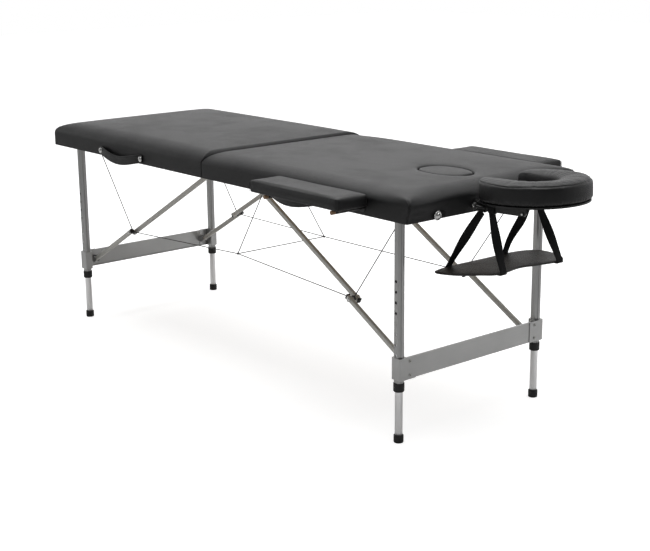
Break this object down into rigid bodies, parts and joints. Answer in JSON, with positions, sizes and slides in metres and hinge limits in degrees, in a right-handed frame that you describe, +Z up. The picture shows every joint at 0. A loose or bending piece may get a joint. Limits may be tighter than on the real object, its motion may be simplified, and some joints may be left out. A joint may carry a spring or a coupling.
{
  "type": "folding massage table",
  "caption": "Portable massage table folding in half, with telescopic aluminium legs, cable braces, armrests, breath hole plug, tilting face cradle and arm shelf.",
  "frame": {"origin": "on the floor, under the middle of the centre hinges", "axes": "+X along the table to the head end, +Y to the far long side (the handles are on the near side), +Z up"},
  "size_m": [2.162, 0.9098, 0.757],
  "materials": {
    "grey_vinyl": "satin vinyl, soft grain",
    "dark_vinyl": "satin vinyl, soft grain",
    "plywood": "raw beech and plywood",
    "dark_plastic": "matte",
    "black_rubber": "matte",
    "webbing": "woven",
    "aluminium": "satin anodised",
    "bright_aluminium": "brushed",
    "plated_steel": "bright zinc plated",
    "steel": "zinc plated"
  },
  "bodies": {
    "foot_panel": {"foot_frame": "plywood", "foot_board": "plywood", "foot_cushion": "grey_vinyl", "foot_side_vinyl": "grey_vinyl", "foot_handle": "dark_vinyl", "foot_fasteners": "plated_steel", "foot_leg_hinges": "steel", "foot_brace_hinges": "steel", "foot_cables": "steel", "foot_hinge_leaves": "steel", "latch_keepers": "plated_steel"},
    "hinge_pins": {"centre_hinge_pins": "steel"},
    "head_panel": {"head_frame": "plywood", "head_board": "plywood", "head_cushion": "grey_vinyl", "head_side_vinyl": "grey_vinyl", "head_handle": "dark_vinyl", "head_fasteners": "plated_steel", "head_leg_hinges": "steel", "head_brace_hinges": "steel", "head_cables": "steel", "head_hinge_leaves": "steel", "rod_sockets": "black_rubber"},
    "plug": {"breath_plug": "grey_vinyl"},
    "near_latch_hook": {"near_latch": "plated_steel"},
    "far_latch_hook": {"far_latch": "plated_steel"},
    "near_armrest": {"near_armrest_frame": "dark_plastic", "near_armrest_pad": "grey_vinyl"},
    "far_armrest": {"far_armrest_frame": "dark_plastic", "far_armrest_pad": "grey_vinyl"},
    "cradle_slide": {"cradle_base": "steel"},
    "cradle_frame": {"cradle_arms": "dark_plastic", "cradle_pad": "dark_vinyl"},
    "tilt_lever": {"cradle_lever": "black_rubber"},
    "arm_shelf": {"shelf_board": "dark_vinyl", "shelf_straps": "webbing"},
    "foot_legs": {"foot_upper_legs": "aluminium", "foot_crossbar": "aluminium", "foot_crossbar_brackets": "aluminium", "foot_leg_collars": "black_rubber"},
    "foot_upper_brace_pair": {"foot_upper_braces": "aluminium"},
    "foot_lower_brace_pair": {"foot_lower_braces": "aluminium"},
    "foot_near_lower_leg": {"foot_near_tube": "bright_aluminium", "foot_near_pad": "black_rubber"},
    "foot_near_snap_button": {"foot_near_button": "steel"},
    "foot_far_lower_leg": {"foot_far_tube": "bright_aluminium", "foot_far_pad": "black_rubber"},
    "foot_far_snap_button": {"foot_far_button": "steel"},
    "head_legs": {"head_upper_legs": "aluminium", "head_crossbar": "aluminium", "head_crossbar_brackets": "aluminium", "head_leg_collars": "black_rubber"},
    "head_upper_brace_pair": {"head_upper_braces": "aluminium"},
    "head_lower_brace_pair": {"head_lower_braces": "aluminium"},
    "head_near_lower_leg": {"head_near_tube": "bright_aluminium", "head_near_pad": "black_rubber"},
    "head_near_snap_button": {"head_near_button": "steel"},
    "head_far_lower_leg": {"head_far_tube": "bright_aluminium", "head_far_pad": "black_rubber"},
    "head_far_snap_button": {"head_far_button": "steel"}
  },
  "joints": [
    {"name": "foot_half_fold", "type": "hinge", "parent": "foot_panel", "child": "hinge_pins", "pos_m": [0, 0, 0.645], "axis": [0, 1, 0], "range_deg": [0, 90], "deforming": ["foot_cables", "head_cables"]},
    {"name": "head_half_fold", "type": "hinge", "parent": "hinge_pins", "child": "head_panel", "pos_m": [0, 0, 0.645], "axis": [0, 1, 0], "range_deg": [0, 90], "deforming": ["foot_cables", "head_cables"]},
    {"name": "foot_legs_fold", "type": "hinge", "parent": "foot_panel", "child": "foot_legs", "pos_m": [-0.843, 0, 0.667], "axis": [0, -1, 0], "range_deg": [0, 90]},
    {"name": "foot_upper_brace_fold", "type": "hinge", "parent": "foot_panel", "child": "foot_upper_brace_pair", "pos_m": [-0.055, 0, 0.667], "axis": [0, 1, 0], "range_deg": [0, 30.2]},
    {"name": "foot_lower_brace_fold", "type": "hinge", "parent": "foot_legs", "child": "foot_lower_brace_pair", "pos_m": [-0.843, 0, 0.215], "axis": [0, -1, 0], "range_deg": [0, 60.4]},
    {"name": "foot_near_leg_slide", "type": "slide", "parent": "foot_legs", "child": "foot_near_lower_leg", "axis": [0, 0, 1], "range_m": [-0.09, 0.12], "deforming": ["foot_near_button"]},
    {"name": "foot_near_button_press", "type": "slide", "parent": "foot_near_lower_leg", "child": "foot_near_snap_button", "axis": [0, 1, 0], "range_m": [0, 0.0045], "stiffness_N_per_m": 300, "deforming": ["foot_near_button"]},
    {"name": "foot_far_leg_slide", "type": "slide", "parent": "foot_legs", "child": "foot_far_lower_leg", "axis": [0, 0, 1], "range_m": [-0.09, 0.12], "deforming": ["foot_far_button"]},
    {"name": "foot_far_button_press", "type": "slide", "parent": "foot_far_lower_leg", "child": "foot_far_snap_button", "axis": [0, -1, 0], "range_m": [0, 0.0045], "stiffness_N_per_m": 300, "deforming": ["foot_far_button"]},
    {"name": "head_legs_fold", "type": "hinge", "parent": "head_panel", "child": "head_legs", "pos_m": [0.843, 0, 0.667], "axis": [0, 1, 0], "range_deg": [0, 90]},
    {"name": "head_upper_brace_fold", "type": "hinge", "parent": "head_panel", "child": "head_upper_brace_pair", "pos_m": [0.055, 0, 0.667], "axis": [0, -1, 0], "range_deg": [0, 30.2]},
    {"name": "head_lower_brace_fold", "type": "hinge", "parent": "head_legs", "child": "head_lower_brace_pair", "pos_m": [0.843, 0, 0.215], "axis": [0, 1, 0], "range_deg": [0, 60.4]},
    {"name": "head_near_leg_slide", "type": "slide", "parent": "head_legs", "child": "head_near_lower_leg", "axis": [0, 0, 1], "range_m": [-0.09, 0.12], "deforming": ["head_near_button"]},
    {"name": "head_near_button_press", "type": "slide", "parent": "head_near_lower_leg", "child": "head_near_snap_button", "axis": [0, 1, 0], "range_m": [0, 0.0045], "stiffness_N_per_m": 300, "deforming": ["head_near_button"]},
    {"name": "head_far_leg_slide", "type": "slide", "parent": "head_legs", "child": "head_far_lower_leg", "axis": [0, 0, 1], "range_m": [-0.09, 0.12], "deforming": ["head_far_button"]},
    {"name": "head_far_button_press", "type": "slide", "parent": "head_far_lower_leg", "child": "head_far_snap_button", "axis": [0, -1, 0], "range_m": [0, 0.0045], "stiffness_N_per_m": 300, "deforming": ["head_far_button"]},
    {"name": "plug_lift", "type": "slide", "parent": "head_panel", "child": "plug", "axis": [0, 0, 1], "range_m": [0, 0.06]},
    {"name": "near_latch_turn", "type": "hinge", "parent": "head_panel", "child": "near_latch_hook", "pos_m": [0.935, -0.231, 0.656], "axis": [-1, 0, 0], "range_deg": [0, 90]},
    {"name": "far_latch_turn", "type": "hinge", "parent": "head_panel", "child": "far_latch_hook", "pos_m": [0.935, 0.231, 0.656], "axis": [1, 0, 0], "range_deg": [0, 90]},
    {"name": "near_armrest_slide", "type": "slide", "parent": "head_panel", "child": "near_armrest", "axis": [0, -1, 0], "range_m": [0, 0.1]},
    {"name": "far_armrest_slide", "type": "slide", "parent": "head_panel", "child": "far_armrest", "axis": [0, 1, 0], "range_m": [0, 0.1]},
    {"name": "cradle_pull", "type": "slide", "parent": "head_panel", "child": "cradle_slide", "axis": [1, 0, 0], "range_m": [0, 0.12]},
    {"name": "cradle_tilt", "type": "hinge", "parent": "cradle_slide", "child": "cradle_frame", "pos_m": [0.947, 0, 0.667], "axis": [0, 1, 0], "range_deg": [-8, 25]},
    {"name": "tilt_lever_turn", "type": "hinge", "parent": "cradle_frame", "child": "tilt_lever", "pos_m": [0.947, -0.103, 0.667], "axis": [0, 1, 0], "range_deg": [0, 75]},
    {"name": "shelf_swing", "type": "hinge", "parent": "cradle_frame", "child": "arm_shelf", "pos_m": [0.975, 0, 0.652], "axis": [0, -1, 0], "range_deg": [-15, 30], "deforming": ["shelf_straps"]}
  ],
  "couplings": [
    {"joint": "foot_legs_fold", "follows": "foot_half_fold", "ratio": 1},
    {"joint": "foot_upper_brace_fold", "follows": "foot_half_fold", "ratio": 0.33154},
    {"joint": "foot_lower_brace_fold", "follows": "foot_half_fold", "ratio": 0.66846},
    {"joint": "head_legs_fold", "follows": "foot_half_fold", "ratio": 1},
    {"joint": "head_upper_brace_fold", "follows": "foot_half_fold", "ratio": 0.33154},
    {"joint": "head_lower_brace_fold", "follows": "foot_half_fold", "ratio": 0.66846}
  ]
}
